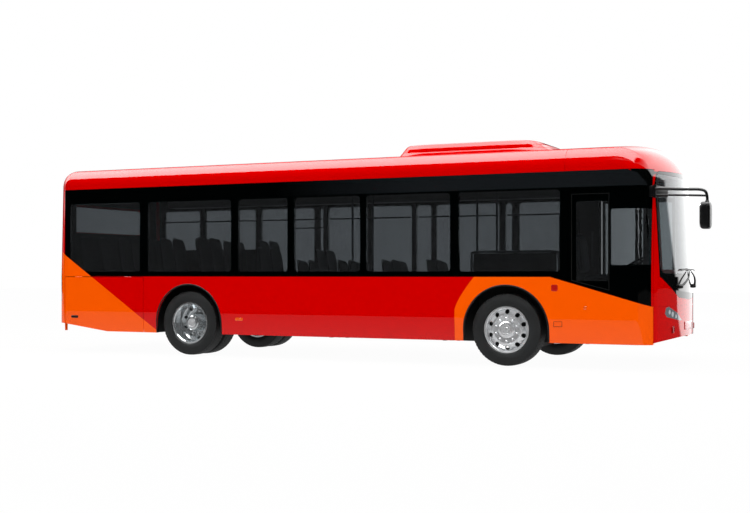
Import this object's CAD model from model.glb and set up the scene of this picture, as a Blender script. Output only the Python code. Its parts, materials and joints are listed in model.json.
import functools
import json
import math
import bmesh
import bpy
import numpy as np
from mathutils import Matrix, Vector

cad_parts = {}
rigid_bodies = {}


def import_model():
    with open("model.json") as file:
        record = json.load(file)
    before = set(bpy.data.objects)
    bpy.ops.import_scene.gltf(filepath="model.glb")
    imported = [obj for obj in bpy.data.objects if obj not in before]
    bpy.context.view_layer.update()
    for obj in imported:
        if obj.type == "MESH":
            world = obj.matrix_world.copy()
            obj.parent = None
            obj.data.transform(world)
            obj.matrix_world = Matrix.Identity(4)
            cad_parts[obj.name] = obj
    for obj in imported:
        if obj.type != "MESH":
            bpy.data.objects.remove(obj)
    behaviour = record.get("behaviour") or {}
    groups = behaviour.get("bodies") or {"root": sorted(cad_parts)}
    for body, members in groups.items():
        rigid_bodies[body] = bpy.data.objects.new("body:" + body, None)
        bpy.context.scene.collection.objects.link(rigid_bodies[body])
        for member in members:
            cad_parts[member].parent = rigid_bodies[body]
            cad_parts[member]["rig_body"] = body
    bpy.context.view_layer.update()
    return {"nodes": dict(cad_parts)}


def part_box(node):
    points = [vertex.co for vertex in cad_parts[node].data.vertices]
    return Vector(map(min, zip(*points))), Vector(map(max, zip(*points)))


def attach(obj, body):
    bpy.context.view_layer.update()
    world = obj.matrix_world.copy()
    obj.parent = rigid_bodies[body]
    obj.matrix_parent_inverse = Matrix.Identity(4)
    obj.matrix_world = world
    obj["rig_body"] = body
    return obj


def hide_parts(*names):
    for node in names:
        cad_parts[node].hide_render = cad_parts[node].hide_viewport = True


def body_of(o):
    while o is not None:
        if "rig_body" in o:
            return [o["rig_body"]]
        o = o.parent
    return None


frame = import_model()
nodes = frame["nodes"]

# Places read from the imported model, metres: +X is forwards, +Y is left
wheelLow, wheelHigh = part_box("front_right_tyre")
rearLow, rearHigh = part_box("rear_right_tyres")
axle = (wheelLow.x + wheelHigh.x) / 2
rearAxle = (rearLow.x + rearHigh.x) / 2
hubHeight = (wheelLow.z + wheelHigh.z) / 2
tyreMid = (wheelLow.y + wheelHigh.y) / -2  # middle of the outer tyres from the centreline
sideFace = tyreMid + 0.1575  # outer face of the side walls
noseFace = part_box("front_bumper")[1].x
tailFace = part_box("rear_bumper")[0].x
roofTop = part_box("roof_panel")[1].z
fromAxle = np.array([axle, 0.0, 0.0])  # places written from the front axle are added to this
print("frame loaded")

# Form of the outer skin: radii of the nose's bow, the camber of roof and tail and the corners, the front
# corner's place from the axle, and how far nose and tail lean for each metre above the belt
skin = {"bow": 3.5, "camber": 9.0, "corner": 0.25, "cornerX": 1.684, "noseLean": 0.0524, "tailLean": 0.026}

camera = {
    "lens": 56.32,
    "place": (axle + 4.952, -15.702, 1.203),
    "turn": 25.278,
    "shiftUp": 0.0224,
}


def placeObject(name, data):
    item = bpy.data.objects.new(name, data)
    bpy.context.collection.objects.link(item)
    return item


def placeCamera():
    data = bpy.data.cameras.new("camera")
    data.lens, data.sensor_width, data.shift_y = camera["lens"], 36.0, camera["shiftUp"]
    data.clip_end = 200.0
    item = placeObject("camera", data)
    item.location = camera["place"]
    item.rotation_euler = (math.radians(90), 0, math.radians(camera["turn"]))
    bpy.context.scene.camera = item


placeCamera()


def linear(hexColour):
    # sRGB hex text to the linear colour that shaders take
    channels = [int(hexColour[i:i + 2], 16) / 255 for i in (1, 3, 5)]
    return tuple(c / 12.92 if c <= 0.04045 else ((c + 0.055) / 1.055) ** 2.4 for c in channels) + (1.0,)


def addNode(tree, kind, *inputs, **settings):
    # a node with its settings, its operation named after the kind; inputs come in the order of the sockets in
    # use, or by name in a dictionary, and are plain values, hex colours or outputs; gives the output in use
    kind, *operation = kind.split()
    node = tree.nodes.new("ShaderNode" + kind)
    if operation:
        node.operation = operation[0]
    for name, value in settings.items():
        setattr(node, name, value)
    if inputs and isinstance(inputs[0], dict):
        pairs = [(node.inputs[name], item) for name, item in inputs[0].items()]
    else:
        pairs = zip([socket for socket in node.inputs if socket.enabled], inputs)
    for socket, item in pairs:
        if isinstance(item, bpy.types.NodeSocket):
            tree.links.new(item, socket)
        else:
            socket.default_value = linear(item) if isinstance(item, str) else item
    return next((output for output in node.outputs if output.enabled), None)


def newMaterial(name, build, *values):
    # a material whose surface is the shader that build gives; build gets the function that adds nodes, the
    # place of a point in the frame, and any values of its own
    material = bpy.data.materials.new(name)
    material.use_nodes = True
    material.node_tree.nodes.clear()
    add = functools.partial(addNode, material.node_tree)
    add("OutputMaterial", build(add, add("TexCoord").node.outputs["Object"], *values))
    return material


# Livery: where the orange fields lie, metres from the front axle and above the ground
livery = {
    "red": "#CE0000",
    "orange": "#FC5A01",
    "black": "#040505",
    "lining": "#151719",
    "frontRear": -0.703,
    "curveFoot": 0.72,
    "curveReach": 0.274,
    "curvePower": 1.35,
    "slopeStart": 0.597,
    "slope": 0.287,
    "belt": 1.158,
    "rearLineX": -7.207,
    "rearLineZ": 1.503,
    "rearSlope": -0.6617,
    "edge": 0.0015,
    "frontEnd": 1.8815,
}


def orangeMask(add, x, z):
    # 1 on the orange fields of both flanks: the front one between a rear edge that bends forwards
    # above curveFoot and the falling sill line, the rear one under a slanting line
    v = livery
    rise = add("MapRange", z, v["curveFoot"], v["belt"])
    bend = add("Math POWER", rise, v["curvePower"])
    rear = add("Math MULTIPLY_ADD", bend, v["curveReach"], axle + v["frontRear"])
    past = add("Math SUBTRACT", x, rear)
    run = add("Math SUBTRACT", x, axle + v["slopeStart"])
    run = add("Math MAXIMUM", run, 0.0)
    sill = add("Math MULTIPLY_ADD", run, -v["slope"], v["belt"])
    under = add("Math SUBTRACT", sill, z)
    lineFoot = v["rearLineZ"] - v["rearSlope"] * (axle + v["rearLineX"])
    line = add("Math MULTIPLY_ADD", x, v["rearSlope"], lineFoot)
    back = add("Math SUBTRACT", line, z)
    past, under, back = (add("MapRange", value, -v["edge"], v["edge"]) for value in (past, under, back))
    front = add("MapRange", x, axle + v["frontEnd"] - 0.001, axle + v["frontEnd"] + 0.001, 1.0, 0.0)
    for mask in (past, under):
        front = add("Math MULTIPLY", front, mask)
    return add("Math MAXIMUM", front, back)


# Where paint gives way to dark trim: each pair is where the change starts and where it ends. Depths are
# below the outer skin, the band's foot is from the belt, and its ends are from the front axle and the tail
trim = {
    "liningDepth": (0.028, 0.034),
    "bandDepth": (0.0045, 0.006),
    "bandFoot": (-0.08, -0.075),
    "bandTop": (2.4955, 2.4965),
    "bandFront": (1.855, 1.86),
    "bandRear": (0.262, 0.266),
    "aboveBand": 0.655,
    "rebateDepth": (-0.014, -0.010),
    "rebateSide": (1.088, 1.092),
    "rebateRear": (1.40, 1.41),
    "rebateFoot": (1.00, 1.01),
    "rebateTop": (2.470, 2.475),
}


def between(start, pair):
    # a pair of places counted from start
    return [start + value for value in pair]


def bodyPaint(add, place):
    # Two-coat polyester paint on steel and moulded panels: a flat saturated colour under a clear
    # coat with slight orange peel, so lamps show as crisp bands and the colour stays deep
    x, y, z = add("SeparateXYZ", place).node.outputs
    orange = orangeMask(add, x, z)
    colour = add("Mix", orange, livery["red"], livery["orange"], data_type="RGBA")
    # depth below the outer skin, also round the corners: corner radius less the distance to its axis, with
    # the roof's camber, y squared over twice its radius, taken out of the height
    side = add("Math ABSOLUTE", y)
    square = add("Math MULTIPLY", y, y)
    rise = add("Math MULTIPLY_ADD", square, 0.5 / skin["camber"], z)
    past = []
    for value, start in ((x, axle + skin["cornerX"]), (side, sideFace - skin["corner"]),
                         (rise, roofTop - skin["corner"])):
        over = add("Math SUBTRACT", value, start)
        past.append(add("Math MAXIMUM", over, 0.0))
    flat = add("CombineXYZ", *past)
    reach = add("VectorMath LENGTH", flat)
    depth = add("Math SUBTRACT", skin["corner"], reach)
    # inside faces and the walls behind the glazing: dark trim above the belt, grey lining below it
    inner = add("MapRange", depth, *trim["liningDepth"])
    band = add("MapRange", z, *between(livery["belt"], trim["bandFoot"]))
    below = add("MapRange", z, *trim["bandTop"], 1.0, 0.0)
    behind = add("MapRange", depth, *trim["bandDepth"])
    # over the band the lining ends further back
    overBand = add("Math SUBTRACT", 1.0, below)
    shifted = add("Math MULTIPLY_ADD", overBand, trim["aboveBand"], x)
    front = add("MapRange", shifted, *between(axle, trim["bandFront"]), 1.0, 0.0)
    back = add("MapRange", x, *between(tailFace, trim["bandRear"]))
    for mask in (below, behind, front, back):
        band = add("Math MULTIPLY", band, mask)
    for mask in (front, back):
        inner = add("Math MULTIPLY", inner, mask)
    # the rebate behind the windscreen: deeper than the bowed nose skin by more than a few millimetres
    upright = add("Math SUBTRACT", z, livery["belt"])
    upright = add("Math MAXIMUM", upright, 0.0)
    bow = add("Math MULTIPLY_ADD", square, 0.5 / skin["bow"], x)
    bow = add("Math MULTIPLY_ADD", upright, skin["noseLean"], bow)
    rebate = add("MapRange", bow, *between(noseFace, trim["rebateDepth"]), 1.0, 0.0)
    for limit in ((side, *trim["rebateSide"], 1.0, 0.0), (x, *between(axle, trim["rebateRear"])),
                  (z, *trim["rebateFoot"]), (z, *trim["rebateTop"], 1.0, 0.0)):
        mask = add("MapRange", *limit)
        rebate = add("Math MULTIPLY", rebate, mask)
    for mask, cover in ((inner, "lining"), (band, "black"), (rebate, "black")):
        colour = add("Mix", mask, colour, livery[cover], data_type="RGBA")
    # orange peel of 6 mm waves, coarse enough to show in close views
    peel = add("TexNoise", {"Vector": place, "Scale": 160.0, "Detail": 1.0})
    bump = add("Bump", {"Height": peel, "Strength": 0.01, "Distance": 0.0003})
    return add("BsdfPrincipled", {"Base Color": colour, "Normal": bump, "Roughness": 0.5, "Coat Weight": 1.0,
                                 "Specular IOR Level": 0.0, "Coat Roughness": 0.012, "Coat IOR": 1.5})


def grained(name, colour, grainMm, depth, rough, metal=0.0, coat=0.0, drift=0.12, wear=None, specular=0.5):
    # a moulded, cast or coated surface: grain of grainMm as bump, slow drift of shade over 0.3 m,
    # and where wear is given a second tint in patches on it
    light = wear or [min(1.0, c * (1 + 2 * drift) + 0.0005) for c in linear(colour)[:3]] + [1.0]

    def build(add, place):
        slow = add("TexNoise", {"Vector": place, "Scale": 3.3, "Detail": 3.0})
        shade = add("MapRange", slow, 0.35, 0.75)
        tint = add("Mix", shade, colour, light, data_type="RGBA")
        grain = add("TexNoise", {"Vector": place, "Scale": 1000.0 / grainMm, "Detail": 2.0})
        bump = add("Bump", {"Height": grain, "Strength": 0.3, "Distance": depth})
        return add("BsdfPrincipled", {"Base Color": tint, "Normal": bump, "Roughness": rough,
                                      "Metallic": metal, "Specular IOR Level": specular,
                                      "Coat Weight": coat, "Coat Roughness": 0.03})

    return newMaterial(name, build)


def glazing(add, place, tint, clearRects, border="#010202", painted=False):
    # Toughened or laminated safety glass with a fired ceramic border: black enamel outside the clear
    # rectangles (axis, low, high, bottom, top, corner), clear tinted glass inside them
    x, y, z = add("SeparateXYZ", place).node.outputs
    clear = 0.0
    for axis, low, high, bottom, top, corner in clearRects:
        # distance to a rounded rectangle: length of what sticks out past its inner corners
        past = []
        for value, start, end in (({"x": x, "y": y}[axis], low, high), (z, bottom, top)):
            out = add("Math SUBTRACT", value, (start + end) / 2)
            out = add("Math ABSOLUTE", out)
            out = add("Math SUBTRACT", out, (end - start) / 2 - corner)
            past.append(add("Math MAXIMUM", out, 0.0))
        flat = add("CombineXYZ", *past)
        away = add("VectorMath LENGTH", flat)
        inside = add("MapRange", away, corner - 0.001, corner + 0.001, 1.0, 0.0)
        clear = add("Math MAXIMUM", clear, inside)
    enamel = border
    if painted:
        upper = add("MapRange", z, sidePanes["high"] + 0.02, sidePanes["high"] + 0.024)
        along = add("MapRange", x, axle - 3.4, axle - 1.2)
        upper = add("Math MULTIPLY", upper, along)
        enamel = add("Mix", upper, enamel, "#15181A", data_type="RGBA")
        orange = orangeMask(add, x, z)
        bare = add("Math SUBTRACT", 1.0, orange)
        clear = add("Math MULTIPLY", clear, bare)
        enamel = add("Mix", orange, enamel, livery["orange"], data_type="RGBA")
    glass = add("BsdfPrincipled", {"Base Color": tint, "Roughness": 0.0, "IOR": 1.45,
                                   "Transmission Weight": 1.0})
    shadow = add("BsdfTransparent", tint)
    light = add("LightPath").node.outputs["Is Shadow Ray"]
    pane = add("MixShader", light, glass, shadow)
    fired = add("BsdfPrincipled", {"Base Color": enamel, "Roughness": 0.02, "IOR": 1.45})
    return add("MixShader", clear, fired, pane)


def assign(material, *names):
    for name in names:
        for slot in nodes[name].material_slots:
            slot.material = material


paint = newMaterial("twoCoatBodyPaint", bodyPaint)
assign(paint, "right_side_wall", "left_side_wall", "roof_panel", "front_mask", "tail_panel", "engine_lid",
       "service_flap", "front_bumper", "rear_bumper")

# Clear openings of the side panes from the front axle: rear edge and front edge, and for the driver's also
# foot and top
sidePanes = {
    "openings": [(-7.090, -5.764), (-5.625, -4.160), (-4.042, -3.227), (-3.120, -2.088), (-1.997, -0.766),
                 (-0.645, 0.728)],
    "low": 1.227,
    "high": 2.267,
    "corner": 0.045,
    "driver": [(0.935, 1.342, 1.106, 2.11), (1.380, 1.862, 1.306, 2.005)],
    "tint": "#83878A",
}
rects = [("x", axle + a, axle + b, sidePanes["low"], sidePanes["high"], sidePanes["corner"])
         for a, b in sidePanes["openings"]]
rects += [("x", axle + a, axle + b, low, high, 0.02) for a, b, low, high in sidePanes["driver"]]
doorRects = [("x", axle + a, axle + a + 0.46, 0.52, 2.22, 0.02) for a in (0.66, 1.20)]
screenRects, rearRects = [("y", -1.03, 1.03, 1.20, 2.44, 0.12)], [("y", -0.90, 0.90, 1.86, 2.26, 0.06)]
assign(newMaterial("greyToughenedGlass", glazing, sidePanes["tint"], rects, "#010202", True), "side_windows")
assign(newMaterial("laminatedWindscreenGlass", glazing, "#7E8487", screenRects, "#0A0B0C"), "windscreen")
assign(newMaterial("rearPaneGlass", glazing, sidePanes["tint"], rearRects), "rear_window")
assign(newMaterial("doorGlass", glazing, "#9FA4A6", doorRects), "rear_door_glass", "front_door_glass")

# Carbon-filled rubber: satin black, slightly lighter where it has weathered
rubber = grained("curedTyreRubber", "#141617", 2.0, 0.0003, 0.58, drift=0.3)
# Forged aluminium, polished: a bright mirror with a trace of unevenness
alloy = grained("polishedForgedAluminium", "#E8EAEC", 3.0, 0.00002, 0.16, metal=0.62, drift=0.03)
# Plated steel wheel: a darker and sharper mirror than the forged one
chrome = grained("platedSteelWheel", "#D4D8DA", 3.0, 0.00002, 0.10, metal=0.8, drift=0.03)
# Satin chassis paint: near black, browned by road dirt in patches
chassisPaint = grained("satinChassisPaint", "#0C0D0E", 4.0, 0.0003, 0.5, wear="#1A1512")
# Sand-cast iron: rough dark grey with rusty patches
castIron = grained("sandCastIron", "#26272A", 5.0, 0.0008, 0.7, wear="#3A2E26")
# Quartz-filled vinyl: cloudy grey with a fine grit
vinyl = grained("quartzFlooringVinyl", "#303338", 1.5, 0.0002, 0.55, drift=0.3)
# Ribbed liner: flat black that hides the arch's depth
liner = grained("ribbedArchLiner", "#101112", 3.0, 0.0004, 0.65)
# Laminated panel: smooth dark grey with a soft sheen
duct = grained("laminatedDuctPanel", "#3B3E40", 2.0, 0.0001, 0.45)
# Powder coat: black with a fine grain and blurred highlights
powder = grained("blackPowderCoat", "#0B0C0C", 1.2, 0.0002, 0.38)
# Soft-touch skin: black, and nearly without gloss
dashSkin = grained("softTouchDashSkin", "#0B0C0D", 1.4, 0.0004, 0.6, specular=0.15)
# Satin stainless tube: grey metal with blurred highlights
tubeSteel = grained("satinStainlessTube", "#4A4D50", 1.0, 0.00005, 0.32, metal=1.0)
# Moulded plastic: black with a fine grain
blackPlastic = grained("grainedBlackPlastic", "#0B0C0D", 1.6, 0.0002, 0.4)
# Extruded rubber: black and duller than the plastic
edgeRubber = grained("extrudedSealRubber", "#090A0A", 1.5, 0.0002, 0.55)
# Blow-moulded shell: blue-black and dull
seatPlastic = grained("blowMouldedSeatShell", "#07090C", 1.6, 0.0002, 0.5, specular=0.12)


def holedAlloy(add, place):
    # Forged disc with ten hand holes: the wells round them are left rough and sooty with brake dust, so
    # they read as dark openings against the polished face
    x, y, z = add("SeparateXYZ", place).node.outputs
    wells = {"count": 10, "circle": 0.233, "radius": 0.031}
    across = add("Math SUBTRACT", x, axle)
    up = add("Math SUBTRACT", z, hubHeight)
    flat = add("CombineXYZ", across, up)
    reach = add("VectorMath LENGTH", flat)
    turn = add("Math ARCTAN2", up, across)
    turn = add("Math MULTIPLY", turn, wells["count"] / (2 * math.pi))
    turn = add("Math FRACT", turn)
    turn = add("Math SUBTRACT", turn, 0.5)
    arc = add("Math MULTIPLY", turn, 2 * math.pi / wells["count"] * wells["circle"])
    out = add("Math SUBTRACT", reach, wells["circle"])
    flat = add("CombineXYZ", arc, out)
    away = add("VectorMath LENGTH", flat)
    dusty = add("MapRange", away, wells["radius"] - 0.002, wells["radius"], 1.0, 0.0)
    colour = add("Mix", dusty, "#E8EAEC", "#0C0D0E", data_type="RGBA")
    rough = add("MapRange", dusty, 0.0, 1.0, 0.14, 0.7)
    return add("BsdfPrincipled", {"Base Color": colour, "Metallic": 0.62, "Roughness": rough})


assign(newMaterial("forgedDiscWithDustyWells", holedAlloy), "front_left_rim", "front_right_rim")
assign(chrome, "rear_left_rims", "rear_right_rims")
assign(chassisPaint, "front_axle", "left_knuckle", "right_knuckle", "track_rod", "rear_axle")
assign(castIron, "engine_block")
assign(vinyl, "floor_deck")
assign(liner, "wheel_housings")
assign(duct, "ceiling_ducts")
assign(powder, "rear_door_leaf", "front_door_leaf")
assign(dashSkin, "dashboard", "steering_wheel", "driver_partition")
assign(tubeSteel, "grab_poles")


def headlampLook(add, place):
    # Clear polycarbonate cover over a dark reflector bowl: three bright lamp rounds in a row along the
    # lens, each a disc of its own radius, and a dark red marker lens lower down
    x, y, z = add("SeparateXYZ", place).node.outputs
    side = add("Math ABSOLUTE", y)
    face = add("CombineXYZ", side, z)
    glow = 0.0
    for across, height, radius in ((0.80, 0.715, 0.034), (0.71, 0.685, 0.040), (0.60, 0.655, 0.030)):
        away = add("VectorMath DISTANCE", face, (across, height, 0))
        disc = add("MapRange", away, radius * 0.7, radius, 1.0, 0.0)
        glow = add("Math MAXIMUM", glow, disc)
    colour = add("Mix", glow, "#6C7377", "#C9D0D4", data_type="RGBA")
    low = add("MapRange", z, 0.565, 0.57, 1.0, 0.0)
    colour = add("Mix", low, colour, "#7A0505", data_type="RGBA")
    return add("BsdfPrincipled", {"Base Color": colour, "Roughness": 0.12, "Coat Weight": 1.0,
                                 "Coat Roughness": 0.01})


def tailLampLook(add, place):
    # Red acrylic lens in four chambers with dark walls 8 mm thick between them and fine moulded prisms
    z = add("SeparateXYZ", place).node.outputs["Z"]
    low, high = (corner.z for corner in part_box("tail_lamps"))
    step = add("MapRange", z, low, high, 0.0, 4.0)
    part = add("Math FRACT", step)
    wall = add("Math PINGPONG", part, 0.5)
    wall = add("MapRange", wall, 0.03, 0.045, 1.0, 0.0)
    colour = add("Mix", wall, "#7E0608", "#180203", data_type="RGBA")
    prisms = add("TexWave", {"Vector": place, "Scale": 40.0}, bands_direction="Y")
    bump = add("Bump", {"Height": prisms, "Strength": 0.3, "Distance": 0.001})
    return add("BsdfPrincipled", {"Base Color": colour, "Roughness": 0.25, "Normal": bump, "Coat Weight": 1.0,
                                 "Coat Roughness": 0.01})


assign(newMaterial("hardCoatedPolycarbonate", headlampLook), "headlamps")
assign(newMaterial("mouldedRedAcrylic", tailLampLook), "tail_lamps")
print("materials done")


def gridFaces(rows, columns, wrapRows=False, wrapColumns=False):
    # a quad between each two neighbouring rows and columns; a wrapped direction joins its end to its start
    i = np.arange(rows if wrapRows else rows - 1)[:, None]
    j = np.arange(columns if wrapColumns else columns - 1)
    k, m = (i + 1) % rows, (j + 1) % columns
    corners = [row * columns + column for row, column in ((i, j), (k, j), (k, m), (i, m))]
    return np.stack(corners, axis=-1).reshape(-1, 4)


def grid(x, y, z):
    # coordinates of any shapes that fit each other, as one array of points
    return np.stack(np.broadcast_arrays(x, y, z), -1)


def surface(points, wrapRows=False, wrapColumns=False):
    # grid of points (rows, columns, 3) to a part: flat list of points and its quads
    return points.reshape(-1, 3), gridFaces(points.shape[0], points.shape[1], wrapRows, wrapColumns)


def joinedMesh(name, parts, material):
    # one mesh from several parts: doubles merged, faces turned outwards, shaded smooth
    starts = np.cumsum([0] + [len(points) for points, faces in parts[:-1]])
    points = np.concatenate([part[0] for part in parts])
    faces = np.concatenate([part[1] + start for part, start in zip(parts, starts)])
    mesh = bpy.data.meshes.new(name)
    mesh.vertices.add(len(points))
    mesh.vertices.foreach_set("co", points.astype(np.float32).ravel())
    mesh.loops.add(faces.size)
    mesh.loops.foreach_set("vertex_index", faces.astype(np.int32).ravel())
    mesh.polygons.add(len(faces))
    mesh.polygons.foreach_set("loop_start", np.arange(0, faces.size, 4, dtype=np.int32))
    mesh.update(calc_edges=True)
    work = bmesh.new()
    work.from_mesh(mesh)
    bmesh.ops.remove_doubles(work, verts=work.verts, dist=1e-5)
    bmesh.ops.dissolve_degenerate(work, edges=work.edges, dist=1e-6)
    bmesh.ops.recalc_face_normals(work, faces=work.faces)
    work.to_mesh(mesh)
    work.free()
    mesh.materials.append(material)
    mesh.shade_smooth()
    return mesh


def makePiece(name, parts, material, body="bus_body", replaced=(), sharp=35, thick=0.0):
    # one object from several parts, on its body and in its slot; edges past the sharp angle stay crisp
    mesh = joinedMesh(name, parts, material)
    mesh.set_sharp_from_angle(angle=math.radians(sharp))
    item = placeObject(name, mesh)
    if thick:
        wall = item.modifiers.new("wall", "SOLIDIFY")
        wall.thickness, wall.offset = thick, -1.0
    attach(item, body)
    if replaced:
        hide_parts(*replaced)


def smoothPath(corners, count):
    # Catmull-Rom curve through the corners, count points to a run
    p = np.asarray(corners, float)
    p = np.vstack([2 * p[0] - p[1], p, 2 * p[-1] - p[-2]])
    t = np.linspace(0, 1, count, endpoint=False)[None, :, None]
    a, b, c, d = (p[i:len(p) - 3 + i][:, None] for i in range(4))
    bend, twist = 2 * a - 5 * b + 4 * c - d, 3 * b - a - 3 * c + d
    curve = b + 0.5 * ((c - a) * t + bend * t ** 2 + twist * t ** 3)
    return np.vstack([curve.reshape(-1, p.shape[1]), p[-2]])


def closedStack(rings):
    # stack of rings (levels, around, 3) to a part, each end closed to the middle of its ring
    ends = [np.repeat(rings[i].mean(axis=0)[None, None], rings.shape[1], axis=1) for i in (0, -1)]
    return surface(np.concatenate([ends[0], rings, ends[1]]), wrapColumns=True)


def squircle(count, power):
    # superellipse round the unit square: cosine and sine, each to the power with its sign kept
    turn = np.linspace(0, 2 * np.pi, count, endpoint=False)
    return [np.sign(value) * np.abs(value) ** power for value in (np.cos(turn), np.sin(turn))]


def tubeAlong(path, radius, across=(0, 1, 0), sides=10, flat=1.0):
    # round tube: a circle at each point of the path, square to the run there; flat squeezes it along
    # the across direction
    path = np.asarray(path, float)
    run = np.gradient(path, axis=0)
    run /= np.linalg.norm(run, axis=1)[:, None]
    side = np.cross(run, np.asarray(across, float))
    side /= np.linalg.norm(side, axis=1)[:, None]
    lift = np.cross(side, run)
    turn = np.linspace(0, 2 * np.pi, sides, endpoint=False)
    ring = side[:, None] * np.cos(turn)[None, :, None] + flat * lift[:, None] * np.sin(turn)[None, :, None]
    radius = np.broadcast_to(np.asarray(radius, float), (len(path),))
    return closedStack(path[:, None] + radius[:, None, None] * ring)


def lathe(profile, centre, side, around):
    # profile (radius, outward) turned about an axis along Y: x = r cos a, z = r sin a
    turn = np.linspace(0, 2 * np.pi, around, endpoint=False)[None]
    r, out = np.asarray(profile, float).T[:, :, None]
    return surface(centre + grid(r * np.cos(turn), side * out, r * np.sin(turn)), wrapColumns=True)


def pillow(centre, half, power=5.0, rows=13, columns=28):
    # superellipsoid: each half size times the signed 2/power root of a sphere's sines and cosines
    rise = np.linspace(-np.pi / 2, np.pi / 2, rows)[:, None]
    root = 2.0 / power
    wide, up = np.abs(np.cos(rise)) ** root, np.sign(np.sin(rise)) * np.abs(np.sin(rise)) ** root
    x, y = squircle(columns, root)
    return surface(centre + grid(wide * x, wide * y, up) * half, wrapColumns=True)


def bar(low, high, edge):
    # straight bar between two corners, its edges cut back by edge: a cut-cornered rectangle at four levels
    low, high = np.asarray(low, float), np.asarray(high, float)
    corner = np.array([(0, 0), (0, 0), (1, 0), (1, 0), (1, 1), (1, 1), (0, 1), (0, 1)], float)
    shift = np.array([(0, 1), (1, 0), (-1, 0), (0, 1), (0, -1), (-1, 0), (1, 0), (0, -1)], float) * edge
    full = low[:2] + corner * (high[:2] - low[:2]) + shift
    middle = (low[:2] + high[:2]) / 2
    inset = middle + (full - middle) * (1 - 2 * edge / (high[:2] - low[:2]))
    levels = [low[2], low[2] + edge, high[2] - edge, high[2]]
    return closedStack(np.stack([grid(*ring.T, z) for ring, z in zip((inset, full, full, inset), levels)]))


# Tyres: low-floor bus size with ribbed tread, shoulder notches and rings on the side walls. The wall runs
# from bead to shoulder as (outward, radius)
tyre = {
    "wall": [(0.1045, 0.2853), (0.1045, 0.305), (0.1275, 0.316), (0.1345, 0.340), (0.1375, 0.366),
             (0.1345, 0.400), (0.1285, 0.427), (0.1185, 0.462)],
    "crown": 0.472,
    "grooves": (-0.072, -0.036, 0.0, 0.036, 0.072),
    "grooveHalf": 0.0045,
    "grooveDepth": 0.012,
    "notches": 60,
    "notchDepth": 0.006,
    "ringDepth": 0.0012,
    "ringPitch": 0.02,
    "twinPitch": 0.312,
}


def tyreForm(centre, side):
    # profile from bead to bead, turned about the axle; grooves lower the radius in five bands and
    # shoulder notches lower it over a quarter of each pitch
    t = tyre
    wall = np.array(t["wall"])
    steps = np.linspace(0, len(wall) - 1, 46)
    out, radius = (np.interp(steps, np.arange(len(wall)), wall[:, i]) for i in (0, 1))
    rings = np.maximum(0, np.sin((radius - 0.325) * 2 * np.pi / t["ringPitch"])) ** 4 - 1
    out = out + np.where((radius > 0.325) & (radius < 0.445), t["ringDepth"] * rings, 0)
    h, g = t["grooveHalf"], np.array(t["grooves"])[:, None]
    lines = (g + np.array([[-h - 0.001, -h, h, h + 0.001]])).ravel()
    lines = np.sort(np.concatenate([lines, [-0.1035, -0.088, 0.088, 0.1035]]))
    crown = np.interp(np.abs(lines), [0, 0.05, 0.1035, 0.1185], [t["crown"], t["crown"], 0.469, 0.462])
    sunk = np.min(np.abs(lines[None] - g), axis=0) < h + 0.0005
    crown = crown - np.where(sunk, t["grooveDepth"], 0)
    out = np.concatenate([-out, lines, out[::-1]])[:, None]
    radius = np.concatenate([radius, crown, radius[::-1]])[:, None]
    pitch = 2 * np.pi / t["notches"]
    turn = (np.arange(t["notches"])[:, None] + np.array([[0.0, 0.22, 0.26, 0.96]])).ravel() * pitch
    inNotch = np.tile([1.0, 1.0, 0.0, 0.0], t["notches"])
    shoulder = (np.abs(out) > 0.085) & (radius > 0.44)
    r = radius - t["notchDepth"] * shoulder * inNotch
    points = centre + grid(r * np.cos(turn), side * out, r * np.sin(turn))
    return surface(points, wrapRows=True, wrapColumns=True)


# Ten wheel nuts a wheel on the bolt circle: hexagon with a domed cap. Levels up the nut and widths there
wheelNut = {
    "radius": 0.0165,
    "height": 0.034,
    "count": 10,
    "levels": (0, 0, 0.62, 0.72, 0.88, 1.0, 1.0),
    "widths": (0, 1.0, 1.0, 0.86, 0.72, 0.35, 0.0),
}


def nutForms(centre, side, outward, circle):
    # rings of six corners up the nut and in over its cap; one nut copied round the circle
    n = wheelNut
    up = np.array(n["levels"])[:, None] * n["height"]
    wide = np.array(n["widths"])[:, None] * n["radius"]
    corner = np.linspace(0, 2 * np.pi, 6, endpoint=False)
    nut = grid(wide * np.cos(corner), side * up, wide * np.sin(corner))
    spots = (np.arange(n["count"]) + 0.5) * 2 * np.pi / n["count"]
    return [surface(centre + nut + (circle * np.cos(a), side * outward, circle * np.sin(a)), wrapColumns=True)
            for a in spots]


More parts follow.
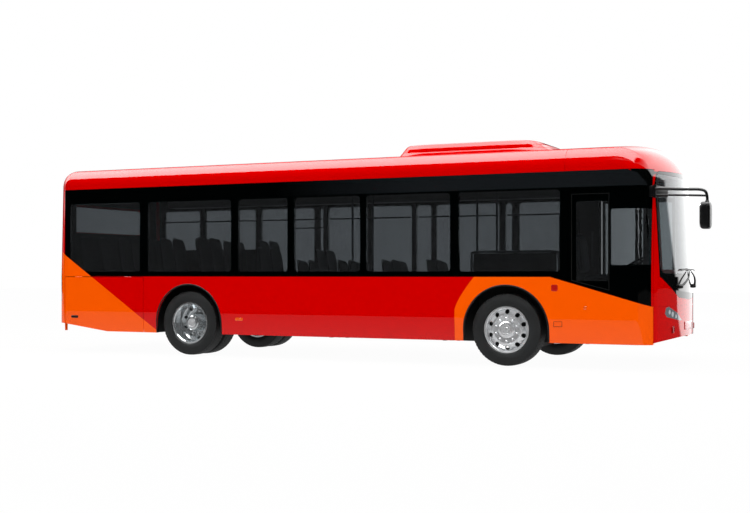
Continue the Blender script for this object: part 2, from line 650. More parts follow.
# Front and rear wheels: what their nodes' names end in, how far out the nuts and the hub centre stand, and
# the bolt circle. Profiles are (radius, outward)
wheelKinds = {
    "front": {"many": "", "nuts": 0.088, "circle": 0.1475, "hub": 0.132, "slot": "front_alloy"},
    "rear": {"many": "s", "nuts": -0.142, "circle": 0.163, "hub": 0.066, "slot": "rear_chrome"},
}
hubProfile = [(0, 0.006), (0.030, 0.006), (0.034, 0.002), (0.052, 0.002), (0.056, 0.007), (0.066, 0.007),
              (0.070, -0.012), (0, -0.012)]
discRing = [(0.176, 0.0905), (0.180, 0.097), (0.190, 0.096), (0.196, 0.084), (0.186, 0.080), (0.176, 0.0905)]
for end, x in (("front", axle), ("rear", rearAxle)):
    for way, side in (("left", 1), ("right", -1)):
        kind = wheelKinds[end]
        label = end + "_" + way
        tyreNode, rimNode = (label + part + kind["many"] for part in ("_tyre", "_rim"))
        middle = np.array([x, side * tyreMid, hubHeight])
        twin = [middle - (0, side * tyre["twinPitch"], 0)] if end == "rear" else []
        makePiece(label + "_treaded_tyre", [tyreForm(centre, side) for centre in [middle] + twin], rubber,
                  body_of(nodes[tyreNode])[0], (tyreNode,), 28)
        forms = nutForms(middle, side, kind["nuts"], kind["circle"])
        forms.append(lathe([(r, out + kind["hub"]) for r, out in hubProfile], middle, side, 48))
        if not twin:
            forms.append(lathe(discRing, middle, side, 72))
        makePiece(label + "_wheel_nuts", forms, alloy, body_of(nodes[rimNode])[0], (), 30)
print("wheels done")

# Rubber lips round the wheel arches, round section, from skirt to skirt
archLip = {"arches": ((axle, 0.575), (rearAxle, 0.566)), "thick": 0.011, "tuck": 0.018, "crease": 0.62,
           "skirt": 0.318}


def skirtLean(z):
    # how far the skirt leans in below its crease
    return archLip["tuck"] * np.clip((archLip["crease"] - z) / (archLip["crease"] - archLip["skirt"]), 0, 1)


def archLipForm(x, radius, side):
    # straight up, half circle, straight down; below the crease it leans in with the skirt
    turn = np.linspace(0, np.pi, 61)
    rise = np.linspace(archLip["skirt"] + 0.004, hubHeight - 0.01, 7)
    px = np.concatenate([np.full(7, x + radius), x + radius * np.cos(turn), np.full(7, x - radius)])
    pz = np.concatenate([rise, hubHeight + radius * np.sin(turn), rise[::-1]])
    return tubeAlong(grid(px, side * (sideFace + 0.001 - skirtLean(pz)), pz), archLip["thick"], flat=0.5)


makePiece("arch_lips", [archLipForm(x, radius, side) for x, radius in archLip["arches"] for side in (-1, 1)],
          edgeRubber)

# Roof unit: moulded cover with rounded edges, a sunk side panel line and a long sloping front. Levels go
# from the roof to the flat top, and draw is how far each outline has moved from the foot to the top's size
roofCover = {
    "rear": (-1.83, -1.71),
    "front": (0.43, 0.20),
    "half": (0.78, 0.715),
    "top": 2.985,
    "corner": 7.0,
    "levels": (0.0, 0.15, 0.32, 0.34, 0.36, 0.62, 0.64, 0.66, 0.84, 0.93, 0.98, 1.0, 1.0, 1.0),
    "draw": (0.0, 0.15, 0.32, 0.36, 0.36, 0.62, 0.62, 0.66, 0.85, 0.98, 1.12, 1.35, 3.0, 5.0),
}


def roofCoverForm():
    # superellipse outlines stacked from the roof to the flat top, each one drawn in by a rounded step
    c = roofCover
    level, draw = (np.array(c[name])[:, None] for name in ("levels", "draw"))
    front, rear, half = (c[name][0] + (c[name][1] - c[name][0]) * draw for name in ("front", "rear", "half"))
    alongX, alongY = squircle(144, 2 / c["corner"])
    x = axle + (front + rear) / 2 + (front - rear) / 2 * alongX
    y = half * alongY
    base = roofTop - 0.012 - y ** 2 / (2 * skin["camber"])
    points = grid(x, y, base + (c["top"] - base) * level)
    return closedStack(np.concatenate([points[:1] - (0, 0, 0.02), points]))


makePiece("roof_unit_cover", [roofCoverForm()], paint, replaced=("roof_unit",), sharp=40)

# Driver's mirror on two bent arms, and the door-side mirror under its bracket. Places are from the front
# axle; a head has its centre, its half sizes and the half sizes of its glass
mirror = {
    "upperArm": [(1.89, -1.19, 2.244), (2.02, -1.235, 2.238), (2.30, -1.325, 2.216), (2.47, -1.388, 2.205),
                 (2.545, -1.398, 2.178), (2.566, -1.398, 2.11), (2.566, -1.398, 2.03)],
    "lowerArm": [(1.89, -1.19, 2.168), (2.10, -1.262, 2.156), (2.40, -1.362, 2.138), (2.558, -1.398, 2.128)],
    "post": [(1.905, -1.20, 2.13), (1.905, -1.20, 2.20), (1.905, -1.20, 2.295)],
    "doorArm": [(1.83, 1.13, 2.322), (1.80, 1.27, 2.325), (1.785, 1.375, 2.318), (1.785, 1.41, 2.27),
                (1.785, 1.41, 2.19)],
    "heads": [((2.551, -1.398, 1.893), (0.062, 0.098, 0.162), (0.082, 0.142)),
              ((1.760, 1.41, 2.085), (0.034, 0.088, 0.153), (0.074, 0.136))],
    "bracket": [(-0.01, 2.148), (0.030, 2.148), (0.036, 2.156), (0.036, 2.274), (0.030, 2.282),
                (-0.01, 2.282)],
    "bracketBack": 0.020,
}


def bracketForm():
    # a pad round the nose corner: plan points on the corner radius then on the bow, given a thickness
    # outward and a height
    turn = np.radians(np.linspace(-46, -19, 9))
    bow = np.linspace(-1.09, -0.88, 5)[1:]
    px = np.concatenate([skin["cornerX"] + skin["corner"] * np.cos(turn),
                         -1.40 + np.sqrt(skin["bow"] ** 2 - bow ** 2)]) - mirror["bracketBack"]
    py = np.concatenate([-1.025 + skin["corner"] * np.sin(turn), bow])
    nx = np.concatenate([np.cos(turn), np.full(4, 0.95)])
    ny = np.concatenate([np.sin(turn), np.full(4, -0.30)])
    out, z = np.array(mirror["bracket"]).T
    return closedStack(fromAxle + grid(px[:, None] + nx[:, None] * out, py[:, None] + ny[:, None] * out, z))


upperArm, lowerArm = (smoothPath(mirror[name], 8) + fromAxle for name in ("upperArm", "lowerArm"))
forms = [tubeAlong(upperArm, np.linspace(0.019, 0.0165, len(upperArm)), (0.3, 1, 0), 14),
         tubeAlong(lowerArm, 0.013, (0.3, 1, 0), 12),
         tubeAlong(fromAxle + mirror["post"], 0.019, (1, 0, 0), 12),
         tubeAlong(smoothPath(mirror["doorArm"], 6) + fromAxle, 0.014, (1, 0, 0), 12),
         pillow(fromAxle + (2.566, -1.398, 2.055), (0.024, 0.026, 0.018), 4.0),
         bracketForm()]
forms += [pillow(fromAxle + centre, half, 5.0, 21, 40) for centre, half, pane in mirror["heads"]]
makePiece("mirror_heads", forms, blackPlastic, replaced=("mirrors",), sharp=40)


def mirrorGlass(centre, half):
    # slightly bulging rounded rectangle facing the driver: rings shrink towards the middle and stand prouder
    size = np.linspace(1, 0, 9)[:, None]
    y, z = squircle(40, 0.4)
    rings = grid(-0.004 * (1 - size ** 2), half[0] * size * y, half[1] * size * z)
    return closedStack(centre + np.concatenate([rings[:1] + (0.01, 0, 0), rings]))


# First-surface silvered glass: a clean mirror with a trace of waviness
silver = grained("silveredMirrorGlass", "#E8ECEE", 60.0, 0.00001, 0.01, metal=1.0, drift=0.0)
makePiece("mirror_glasses", [mirrorGlass(fromAxle + centre - (half[0] - 0.001, 0, 0), pane)
                             for centre, half, pane in mirror["heads"]], silver)

# Wipers: two arms lean together over the screen foot, each with a blade held by a small bridge. Each arm
# has its pivot, its top and the two ends of its blade across the bus
wiper = {"arms": [(-0.47, -0.07, -0.45, 0.02), (0.33, 0.05, 0.0, 0.42)], "foot": 1.035, "top": 1.225,
         "bladeZ": 1.248, "stand": 0.045}


def noseX(y, z):
    # the bowed nose: centreline face less y squared over twice the bow radius, leaning back above the belt
    return noseFace - y ** 2 / (2 * skin["bow"]) - skin["noseLean"] * np.maximum(z - livery["belt"], 0)


forms = []
for pivot, top, bladeStart, bladeEnd in wiper["arms"]:
    y = np.linspace(pivot, top, 15)
    z = np.linspace(wiper["foot"], wiper["top"], 15)
    away = wiper["stand"] * np.sin(np.linspace(0.55, 2.6, 15))
    path = grid(noseX(y, z) + away, y, z)
    forms.append(tubeAlong(path, np.linspace(0.016, 0.008, 15), (1, 0, 0), 10))
    # the spindle and a smaller stub beside it
    face = (noseX(pivot, wiper["foot"]), pivot, wiper["foot"])
    for reach, aside, up, thick, sides in (((-0.01, 0.02, 0.045), 0.0, 0.0, (0.030, 0.026, 0.020), 16),
                                           ((-0.01, 0.012, 0.030), -0.07, 0.01, 0.018, 12)):
        spots = [(out, aside * np.sign(pivot), up) for out in reach]
        forms.append(tubeAlong(np.add(face, spots), thick, (0, 0, 1), sides))
    y = np.linspace(bladeStart, bladeEnd, 13)
    z = wiper["bladeZ"] + 0.012 * np.sin(np.linspace(0, np.pi, 13))
    path = grid(noseX(y, z) + 0.014, y, z)
    forms.append(tubeAlong(path, 0.0075, (1, 0, 0), 8))
    forms.append(tubeAlong(path + (0.010, 0, -0.010), 0.005, (1, 0, 0), 6))
makePiece("wiper_arms", forms, blackPlastic, replaced=("wipers",), sharp=40)
print("outside fittings done")

# Ladder frame: rails and cross members under the floor, tapered outriggers to the side walls
ladder = {
    "y": 0.43,
    "half": 0.035,
    "low": (0.268, 0.315),
    "high": (0.600, 0.695),
    "riser": (axle - 4.172, axle - 4.102),
    "outriggers": (axle + 0.9, axle - 0.9, axle - 2.6, rearAxle + 1.3),
    "steps": ((0.465, 0.70, 0.280), (0.70, 0.95, 0.297), (0.95, 1.20, 0.309)),
    "lowMembers": (noseFace - 0.63, axle + 0.42, axle - 0.46, axle - 1.7, rearAxle + 1.3),
    "highMembers": (rearAxle + 0.42, rearAxle - 0.62, tailFace + 0.2),
}
low, high, riser = ladder["low"], ladder["high"], ladder["riser"]
forms = []
for side in (-1, 1):
    y0, y1 = side * ladder["y"] - ladder["half"], side * ladder["y"] + ladder["half"]
    forms += [bar((riser[1], y0, low[0]), (noseFace - 0.56, y1, low[1]), 0.006),
              bar((tailFace + 0.07, y0, high[0]), (riser[0], y1, high[1]), 0.008),
              bar((riser[0], y0, low[0]), (riser[1], y1, high[1]), 0.008)]
    for x in ladder["outriggers"]:
        for near, far, foot in ladder["steps"]:
            y0, y1 = sorted((side * near, side * far))
            forms.append(bar((x, y0, foot), (x + 0.05, y1, low[1]), 0.002))
inner = ladder["y"] - ladder["half"]
for places, (foot, top) in ((ladder["lowMembers"], low), (ladder["highMembers"], high)):
    forms += [bar((x, -inner, foot), (x + 0.06, inner, top), 0.006) for x in places]
makePiece("ladder_frame", forms, chassisPaint, replaced=("chassis_frame",), sharp=30)

# Saloon seats: blow-moulded shells with rounded tops, in pairs, on pedestals, with a grab handle each. A
# row has its distance behind the front axle and the height of its floor
saloonSeat = {
    "rows": [(1.040, 0.360), (1.700, 0.360), (2.380, 0.360), (3.030, 0.360), (3.670, 0.550), (4.715, 0.705),
             (5.385, 0.705), (5.930, 0.750)],
    "half": 0.158,
    "pairs": (0.712, 1.044),
    "pairMiddle": 0.88,
    "bench": (tailFace + 0.495, 0.750),
    "benchSeats": (-0.94, -0.47, 0.0, 0.47, 0.94),
    "wheelBoxTop": 1.0855,
    "wall": 0.012,
    "profile": [(0.405, 0.425), (0.392, 0.462), (0.300, 0.474), (0.160, 0.464), (0.050, 0.462),
                (0.000, 0.482), (-0.030, 0.545), (-0.052, 0.700), (-0.072, 0.850), (-0.090, 0.960),
                (-0.098, 1.022)],
    "handle": [(-0.098, -0.075, 0.985), (-0.135, -0.060, 1.015), (-0.140, 0, 1.028), (-0.135, 0.060, 1.015),
               (-0.098, 0.075, 0.985)],
}


def seatShells(spots):
    # a seat profile carried across a width that rounds off at the top of the back and at the front lip,
    # with side bolsters that rise with the cube of the distance from the middle; copied to every spot
    path = smoothPath(saloonSeat["profile"], 4)
    run = np.gradient(path, axis=0)
    run /= np.linalg.norm(run, axis=1)[:, None]
    s = np.linspace(0, 1, len(path))[:, None]
    top = np.clip((s - 0.80) / 0.20, 0, 1)
    lip = np.clip((0.12 - s) / 0.12, 0, 1)
    half = saloonSeat["half"] * (1 - top ** 2.8) ** (1 / 2.8) * (1 - 0.12 * lip ** 2)
    across = np.linspace(-1, 1, 15)[None]
    lift = 0.022 * np.abs(across) ** 3 * np.sin(np.pi * np.clip(s, 0.02, 0.98))
    shell = grid(path[:, :1] + run[:, 1:] * lift, half * across, path[:, 1:] - run[:, :1] * lift)
    return [surface(shell + spot) for spot in spots]


spots = [(axle - back, side * y, floor) for back, floor in saloonSeat["rows"] for side in (-1, 1)
         for y in saloonSeat["pairs"]]
benchX, benchFloor = saloonSeat["bench"]
spots += [(benchX, y, benchFloor) for y in saloonSeat["benchSeats"]]
makePiece("seat_shells", seatShells(spots), seatPlastic, "bus_body", ("passenger_seats",), 50,
          saloonSeat["wall"])
forms = [tubeAlong(smoothPath(saloonSeat["handle"], 4) + spot, 0.0085, (0.6, 0, 1), 7) for spot in spots]
for back, floor in saloonSeat["rows"]:
    foot = saloonSeat["wheelBoxTop"] if floor == 0.705 else floor
    for side in (-1, 1):
        under = np.array([axle - back, side * saloonSeat["pairMiddle"], 0.0])
        if floor + 0.40 > foot + 0.08:
            post = [(0.17, 0, z) for z in (foot + 0.001, foot + 0.02, floor + 0.40, floor + 0.44)]
            forms.append(tubeAlong(under + post, (0.075, 0.034, 0.034, 0.05), (1, 0, 0), 14))
            low, high, edge = (0.14, -0.30, floor + 0.405), (0.20, 0.30, floor + 0.435), 0.008
        else:
            low, high, edge = (0.02, -0.30, foot - 0.0004), (0.32, 0.30, floor + 0.445), 0.012
        forms.append(bar(under + low, under + high, edge))
forms.append(bar((benchX - 0.09, -1.15, 0.7505), (benchX + 0.33, 1.15, 1.168), 0.02))
makePiece("seat_frames", forms, powder)
print("seats done")

# Hand rail loops over the front wheel boxes, and the pull handle on the wall of the driver's cab
rails = {
    "loop": [(-0.60, 1.087), (-0.60, 1.42), (-0.54, 1.485), (0.0, 1.488), (0.54, 1.485), (0.60, 1.42),
             (0.60, 1.087)],
    "y": 0.90,
    "radius": 0.016,
    "handle": [(0.90, -0.312, 1.30), (0.90, -0.352, 1.32), (0.90, -0.356, 1.52), (0.90, -0.352, 1.72),
               (0.90, -0.312, 1.74)],
}
loops = [smoothPath([(x, side * rails["y"], z) for x, z in rails["loop"]], 8) + fromAxle for side in (-1, 1)]
makePiece("grab_rails", [tubeAlong(loop, rails["radius"]) for loop in loops], tubeSteel)

# Screen panel over the driver-side wheel box, and the side wall of the driver's cab with its rub rail
cabScreens = [((-0.575, -0.908, 1.088), (0.575, -0.894, 1.468), 0.006),
              ((0.44, -0.312, 0.3605), (0.985, -0.282, 2.24), 0.012),
              ((0.44, -0.322, 1.10), (0.985, -0.272, 1.14), 0.006)]
makePiece("cab_screens", [bar(fromAxle + low, fromAxle + high, edge) for low, high, edge in cabScreens],
          dashSkin)
makePiece("cab_handle", [tubeAlong(smoothPath(rails["handle"], 5) + fromAxle, 0.012, (1, 0, 0))], tubeSteel)

# Bars of the hopper vents in the door-side windows, and the posts between those windows
hopper = {
    "spans": [(-7.13, -6.36), (-6.23, -5.26), (-5.12, -4.00), (-3.86, -2.43), (-2.28, -0.97), (-0.83, 0.52)],
    "bar": (2.074, 2.096),
    "lowBar": ((-4.50, -3.98), (1.935, 1.955)),
    "barDepth": (sideFace - 0.045, sideFace - 0.012),
    "posts": (-6.29, -5.19, -3.93, -2.36, -0.90),
    "postHalf": 0.035,
    "postDepth": (sideFace - 0.060, sideFace - 0.054),
    "postEnds": (1.16, 2.44),
}
blocks = [(span, hopper["barDepth"], hopper["bar"], 0.004) for span in hopper["spans"]]
blocks.append((hopper["lowBar"][0], hopper["barDepth"], hopper["lowBar"][1], 0.004))
blocks += [((x - hopper["postHalf"], x + hopper["postHalf"]), hopper["postDepth"], hopper["postEnds"], 0.0025)
           for x in hopper["posts"]]
forms = [bar(*(np.transpose([x, y, z]) + fromAxle), edge) for x, y, z, edge in blocks]
makePiece("vent_bars", forms, powder)

# Lining boards behind the last door-side pane and round the rear window
liningY = sideFace - 0.058
forms = [bar((tailFace + 0.16, liningY - 0.004, 1.10), (axle - 5.24, liningY + 0.004, 1.60), 0.003)]
for x, y0, y1, z0, z1 in ((0.205, -1.19, 1.19, 0.76, 1.84), (0.205, -1.19, 1.19, 2.29, 2.66),
                          (0.200, -1.19, -0.93, 1.80, 2.33), (0.200, 0.93, 1.19, 1.80, 2.33)):
    forms.append(bar((tailFace + x, y0, z0), (tailFace + x + 0.008, y1, z1), 0.003))
makePiece("rear_lining_boards", forms, dashSkin)

# Fog lamp lenses low on the nose, of smoked acrylic: dark red, with little gloss
fogLens = grained("smokedRedAcrylic", "#8C0E12", 2.0, 0.0001, 0.5, specular=0.1)
fogLamp = (noseX(0.7, 0) - 0.002, 0.7, 0.49)
makePiece("fog_lamps", [pillow(np.multiply(fogLamp, (1, side, 1)), (0.010, 0.048, 0.040), 6.0, 11, 32)
                        for side in (-1, 1)], fogLens)


def frameLoop(corners, thick, y):
    # thin square-cut frame: an outline and the same outline moved in towards its middle, front and back
    p = np.asarray(corners, float) + (axle, 0)
    inner = p - np.sign(p - p.mean(axis=0)) * thick
    depth = 0.003
    rings = [grid(q[:, 0], out, q[:, 1])
             for q, out in ((p, y), (p, y + depth), (inner, y + depth), (inner, y))]
    return surface(np.stack(rings), wrapRows=True, wrapColumns=True)


def sillLine(x):
    # the falling sill of the driver's window
    return livery["belt"] - 0.075 - livery["slope"] * (x - 0.854)


driverFrame = [(0.872, sillLine(0.872) + 0.03), (1.36, sillLine(1.36) + 0.05), (1.36, 2.205), (0.872, 2.205)]
makePiece("driver_window_frame", [frameLoop(driverFrame, 0.012, -sideFace - 0.0028)], powder)

# Small fittings on the flanks: side markers, a round repeater, an emergency door tap, a hatch and a flap
# handle. The repeater is on the driver's side only: the other flank has its door there
# Acrylic lens: deep amber under a wet-looking face
amberLens = grained("mouldedAmberAcrylic", "#D9530A", 2.0, 0.0003, 0.15, coat=1.0)
# Polycarbonate cover: bright red and glossy
redTap = grained("redPolycarbonateCover", "#B01208", 2.0, 0.0001, 0.15, coat=1.0)
flank = {"markers": ((-1, -4.025), (-1, -4.03), (1, -4.025), (1, -2.35), (1, -6.9)), "markerZ": 0.542,
         "hatch": (0.643, 0.754), "hatchZ": (0.524, 0.592)}
markerY = sideFace - skirtLean(flank["markerZ"])
forms = [pillow(fromAxle + (x, side * markerY, flank["markerZ"]), (0.062, 0.006, 0.022), 5.0, 11, 32)
         for side, x in flank["markers"]]
forms.append(pillow(fromAxle + (1.05, -sideFace, 0.768), (0.022, 0.007, 0.022), 2.4, 11, 24))
makePiece("side_markers", forms, amberLens)
makePiece("emergency_tap", [pillow(fromAxle + (0.655, -sideFace, 1.017), (0.043, 0.005, 0.042), 5.0, 11, 32)],
          redTap)
(x0, x1), (z0, z1) = flank["hatch"], flank["hatchZ"]
makePiece("flank_hatch_rim", [frameLoop([(x0, z0), (x1, z0), (x1, z1), (x0, z1)], 0.004, -sideFace + 0.0015)],
          blackPlastic)
flapHandle = pillow(fromAxle + (-7.0, -sideFace + 0.004, 0.535), (0.066, 0.008, 0.019), 6.0, 11, 32)
makePiece("flap_handle", [flapHandle], blackPlastic, body_of(nodes["service_flap"])[0])

# Blank number plates with two domed screws each
plate = {"half": 0.26, "tall": 0.055, "thick": 0.004, "screwY": 0.215}
# Coated plate: pale grey with a soft gloss
plateMetal = grained("whiteCoatedPlate", "#D8DADB", 2.0, 0.00005, 0.3, coat=0.6, drift=0.02)
# The same in red
frontPlate = grained("redCoatedPlate", "#C8202A", 2.0, 0.00005, 0.25, coat=0.6, drift=0.02)


def tailX(y):
    # the tail's face below the belt, bowed like the roof
    return tailFace + y ** 2 / (2 * skin["camber"])


def plateForms(face, height, way):
    # flat rounded rectangle bent to the bow of the panel, then a dome for each screw
    y, z = squircle(64, 0.2)
    rings = []
    for scale, off in ((0.0, 0.0), (1.0, 0.0), (1.0, plate["thick"]), (0.97, plate["thick"] + 0.001),
                       (0.0, plate["thick"] + 0.001)):
        across = scale * plate["half"] * y
        rings.append(grid(face(across) + way * (0.002 + off), across, height + scale * plate["tall"] * z))
    screws = [(face(y) + way * 0.006, y, height) for y in (-plate["screwY"], plate["screwY"])]
    return [surface(np.stack(rings), wrapColumns=True)] + [pillow(screw, (0.003, 0.007, 0.007), 2.2, 9, 16)
                                                           for screw in screws]


makePiece("front_plate", plateForms(lambda y: noseX(y, 0), 0.525, 1), frontPlate)
makePiece("rear_plate", plateForms(lambda y: tailX(y) + 0.004, 0.590, -1), plateMetal)

# Cooling louvres on the engine lid, which swing up with it; the blade's section is in shares of its depth
# and of half its height
louvre = {"rows": 9, "low": 0.90, "pitch": 0.052, "half": 0.62, "depth": 0.010, "tall": 0.018, "seat": 0.006,
          "blade": [(0.0, -1.0), (-1.0, -0.7), (-1.15, -0.4), (-0.2, 1.0), (0.3, 1.0), (0.3, -1.0)]}
forms = []
y = np.linspace(-louvre["half"], louvre["half"], 31)[:, None]
out, up = np.array(louvre["blade"]).T
for row in range(louvre["rows"]):
    height = louvre["low"] + row * louvre["pitch"]
    x = tailX(y) + louvre["seat"] + skin["tailLean"] * max(height - livery["belt"], 0) + out * louvre["depth"]
    forms.append(closedStack(grid(x, y, height + up * louvre["tall"])))
makePiece("lid_louvres", forms, powder, body_of(nodes["engine_lid"])[0], (), 30)
print("fittings done")

# Driver's seat: stuffed pads of woven cloth on a plastic pan over a rubber bellows. A pad has its centre
# from the seat's place, its half sizes and its rake
driverSeat = {
    "place": (axle + 0.9, -0.65, 0.69),
    "pads": {
        "cushion": ((0.195, 0, 0.455), (0.195, 0.232, 0.030), -0.07),
        "back": ((-0.055, 0, 0.755), (0.245, 0.225, 0.024), 1.47),
        "headrest": ((-0.085, 0, 1.00), (0.030, 0.10, 0.026), 1.47),
    },
    "voxel": 0.006,
    "pressure": 4.0,
    "frames": 20,
    "swell": 0.014,
    "channel": 0.006,
}


def clothLook(add, place):
    # Flat-woven wool and nylon cloth: threads of 1.2 mm drawn as 3 mm so that they show, soft and dull
    warp = add("TexWave", {"Vector": place, "Scale": 105.0, "Distortion": 0.6}, bands_direction="Y")
    weft = add("TexWave", {"Vector": place, "Scale": 60.0, "Distortion": 0.6}, bands_direction="DIAGONAL")
    cross = add("Math MULTIPLY", warp, weft)
    fleck = add("TexNoise", {"Vector": place, "Scale": 90.0, "Detail": 2.0})
    fleck = add("MapRange", fleck, 0.55, 0.62)
    colour = add("Mix", fleck, "#14181F", "#3A414C", data_type="RGBA")
    bump = add("Bump", {"Height": cross, "Strength": 0.6, "Distance": 0.001})
    return add("BsdfPrincipled", {"Base Color": colour, "Roughness": 0.9, "Normal": bump, "Sheen Weight": 0.4,
                                 "Sheen Roughness": 0.5})


def meshPlaces(mesh):
    flat = np.empty(len(mesh.vertices) * 3, np.float32)
    mesh.vertices.foreach_get("co", flat)
    return flat.reshape(-1, 3)


def stuffedPad(name, centre, half, rake):
    # a rounded slab is remeshed, blown up as cloth by a set pressure with its travel capped, turned by its
    # rake, and two sewn channels are pressed into it
    item = placeObject(name, joinedMesh(name, [pillow((0, 0, 0), half, 6.0, 21, 44)], cloth))
    remesh = item.modifiers.new("even", "REMESH")
    remesh.mode, remesh.voxel_size = "VOXEL", driverSeat["voxel"] * 1
    fine = bpy.data.meshes.new_from_object(item.evaluated_get(bpy.context.evaluated_depsgraph_get()))
    item.modifiers.clear()
    item.data = fine
    start = moved = meshPlaces(fine)
    blow = item.modifiers.new("blow", "CLOTH")
    blow.settings.use_pressure = True
    blow.settings.uniform_pressure_force = driverSeat["pressure"]
    blow.settings.effector_weights.gravity = 0.0
    blow.point_cache.frame_start, blow.point_cache.frame_end = 1, driverSeat["frames"]
    for step in range(1, driverSeat["frames"] + 1):
        bpy.context.scene.frame_set(step)
    moved = meshPlaces(item.evaluated_get(bpy.context.evaluated_depsgraph_get()).data)
    item.modifiers.clear()
    bpy.context.scene.frame_set(1)
    away = moved - start
    reach = np.linalg.norm(away, axis=1, keepdims=True)
    points = start + away * np.minimum(1.0, driverSeat["swell"] / np.maximum(reach, 1e-9))
    line = np.abs(np.abs(points[:, 1]) - half[1] * 0.48)
    points[:, 2] -= driverSeat["channel"] * np.exp(-(line / 0.007) ** 2) * (points[:, 2] > 0)
    c, s = math.cos(rake), math.sin(rake)
    turned = points @ np.array([[c, 0, -s], [0, 1, 0], [s, 0, c]]) + centre
    fine.vertices.foreach_set("co", turned.astype(np.float32).ravel())
    fine.materials.clear()
    fine.materials.append(cloth)
    fine.shade_smooth()
    fine.update()
    smooth = item.modifiers.new("smooth", "SUBSURF")
    smooth.levels = smooth.render_levels = 1
    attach(item, "bus_body")
    return item


cloth = newMaterial("wovenWoolCloth", clothLook)
seatPlace = np.array(driverSeat["place"])
pads = {part: stuffedPad("driver_" + part, seatPlace + centre, half, rake)
        for part, (centre, half, rake) in driverSeat["pads"].items()}
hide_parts("driver_seat")
# bellows: rounded squares whose size waves four times on the way up, over a plinth and under the pan
wave = np.linspace(0, 1, 41)[:, None]
ripple = 0.14 + 0.010 * np.cos(wave * 2 * np.pi * 4)
alongX, alongY = squircle(40, 0.6)
bellows = grid(ripple * alongX + 0.185, ripple * alongY, 0.20 + 0.155 * wave)
forms = [closedStack(seatPlace + bellows)]
for low, high, edge in (((-0.06, -0.25, -0.329), (0.42, 0.25, 0.205), 0.03),
                        ((0.0, -0.235, 0.35), (0.385, 0.235, 0.415), 0.02),
                        ((-0.10, -0.16, 0.36), (-0.075, 0.16, 0.93), 0.01)):
    forms.append(bar(seatPlace + low, seatPlace + high, edge))
makePiece("driver_pedestal", forms, blackPlastic)
print("driver's seat done")

# Stage: floor, lamps and world
stage = {
    "floorHalf": 60.0,
    "ambient": 0.86,
    "stripLevel": 8.0,
    "backdropLevel": 2.6,
    "lamps": {
        "overheadSoftbox": ((0.0, -1.0, 8.0), (0.0, -1.0, 0.0), 13.0, 3.0, 760.0),
        "sideSoftbox": ((3.0, -13.0, 7.0), (0.0, 0.0, 1.2), 10.0, 4.0, 640.0),
        "farSoftbox": ((-3.0, 13.0, 7.0), (0.0, 0.0, 1.2), 10.0, 4.0, 512.0),
    },
}


def floorLook(add, place):
    # Painted floor that looks white, keeps a faint shadow, and shows pale in gloss only near the bus
    x, y, z = add("SeparateXYZ", place).node.outputs
    grey = (0.8, 0.8, 0.8, 1.0)
    matt = add("BsdfPrincipled", {"Base Color": grey, "Roughness": 0.9, "Specular IOR Level": 0.0})
    light = add("LightPath").node
    seen = add("Math MAXIMUM", light.outputs["Is Camera Ray"], light.outputs["Is Transmission Ray"])
    seen = add("Math MULTIPLY", seen, 0.97)
    white = add("Emission", (1, 1, 1, 1), 1.0)
    far = add("MapRange", y, -8.0, -2.5, 0.0, 0.55)
    # ahead of the nose the floor is dull, then bright beyond a line 59 degrees left of straight ahead
    ahead = add("MapRange", x, 4.6, 5.4)
    lean = add("Math MULTIPLY_ADD", x, -1.664, y)
    lit = add("MapRange", lean, -6.6, -5.8, 0.08, 1.9)
    back = add("Math SUBTRACT", 1.0, ahead)
    far = add("Math MULTIPLY", far, back)
    far = add("Math MULTIPLY_ADD", lit, ahead, far)
    gloss = add("Emission", (1, 1, 1, 1), far)
    mixed = add("MixShader", light.outputs["Is Glossy Ray"], matt, gloss)
    return add("MixShader", seen, mixed, white)


half = stage["floorHalf"]
corners = [(-half, -half, 0), (half, -half, 0), (half, half, 0), (-half, half, 0)]
floorMesh = bpy.data.meshes.new("studioFloor")
floorMesh.from_pydata(corners, [], [(0, 1, 2, 3)])
floorMesh.materials.append(newMaterial("paleStudioFloor", floorLook))
placeObject("studioFloor", floorMesh)


def softLamp(name, place, target, width, depth, power):
    # a rectangular soft lamp that faces its target and lights without showing in gloss
    light = bpy.data.lights.new(name, "AREA")
    light.shape, light.size, light.size_y, light.energy = "RECTANGLE", width, depth, power
    item = placeObject(name, light)
    item.location = place
    aim = np.array(target) - np.array(place)
    item.rotation_euler = (math.atan2(math.hypot(aim[0], aim[1]), -aim[2]), 0,
                           math.atan2(aim[0], -aim[1]) if abs(aim[0]) + abs(aim[1]) > 1e-6 else 0)
    item.visible_glossy = False


for name, values in stage["lamps"].items():
    softLamp(name, *values)


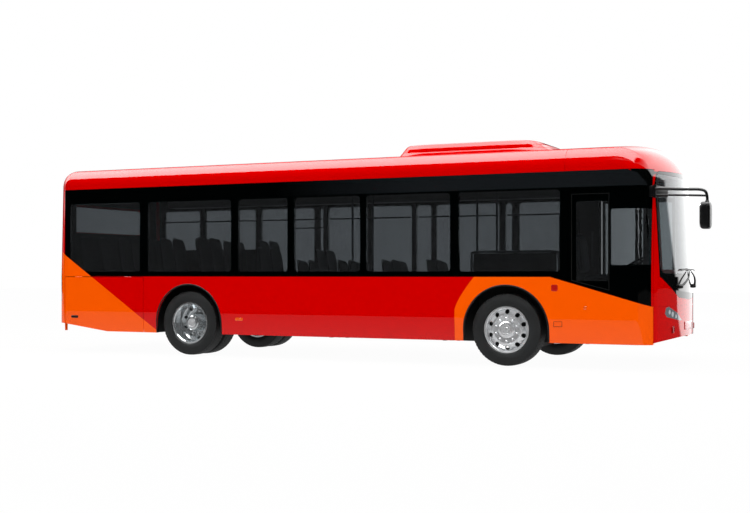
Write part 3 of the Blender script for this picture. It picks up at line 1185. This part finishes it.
def studioWorld():
    # white for the camera and through glass; gloss sees a dark room with one long strip lamp over the
    # bus and a white backdrop ahead and to the left; everything else gets an even level
    world = bpy.data.worlds.new("studio")
    bpy.context.scene.world = world
    world.use_nodes = True
    world.node_tree.nodes.clear()
    add = functools.partial(addNode, world.node_tree)
    x, y, z = add("SeparateXYZ", add("TexCoord")).node.outputs
    rays = add("LightPath").node.outputs
    # the strip covers the sky from 32 degrees off overhead on the near side to 52 degrees on the far side
    nearEdge = add("Math MULTIPLY_ADD", z, 0.62, y)
    nearEdge = add("MapRange", nearEdge, -0.006, 0.006)
    farEdge = add("Math MULTIPLY", z, 1.3)
    farEdge = add("Math SUBTRACT", farEdge, y)
    fade = add("MapRange", farEdge, 0.0, 1.3, 0.16, 1.0)
    inSky = add("MapRange", farEdge, -0.01, 0.01)
    ends = add("MapRange", x, 0.45, 0.5, 1.0, 0.0)
    strip = nearEdge
    for factor in (inSky, ends, fade, stage["stripLevel"]):
        strip = add("Math MULTIPLY", strip, factor)
    # the backdrop starts about 60 degrees to the left of straight ahead, and less far round higher up
    lean = add("Math MULTIPLY_ADD", x, -0.9, y)
    lean = add("Math MULTIPLY_ADD", z, 1.8, lean)
    back = add("MapRange", lean, 0.43, 0.48)
    forward = add("MapRange", x, -0.25, -0.05)
    low = add("Math ABSOLUTE", z)
    low = add("MapRange", low, 0.5, 0.8, 1.0, 0.0)
    for factor in (forward, low, stage["backdropLevel"]):
        back = add("Math MULTIPLY", back, factor)
    seen = add("Math MAXIMUM", strip, back)
    gloss = add("Math MULTIPLY", rays["Is Glossy Ray"], seen)
    plain = add("Math MAXIMUM", rays["Is Camera Ray"], rays["Is Transmission Ray"])
    used = add("Math MAXIMUM", plain, rays["Is Glossy Ray"])
    other = add("Math SUBTRACT", 1.0, used)
    level = add("Math MULTIPLY_ADD", other, stage["ambient"], plain)
    level = add("Math ADD", level, gloss)
    shine = add("Background", (1, 1, 1, 1), level)
    add("OutputWorld", shine)


studioWorld()
bpy.context.scene.view_settings.view_transform = "Standard"
print("stage done")
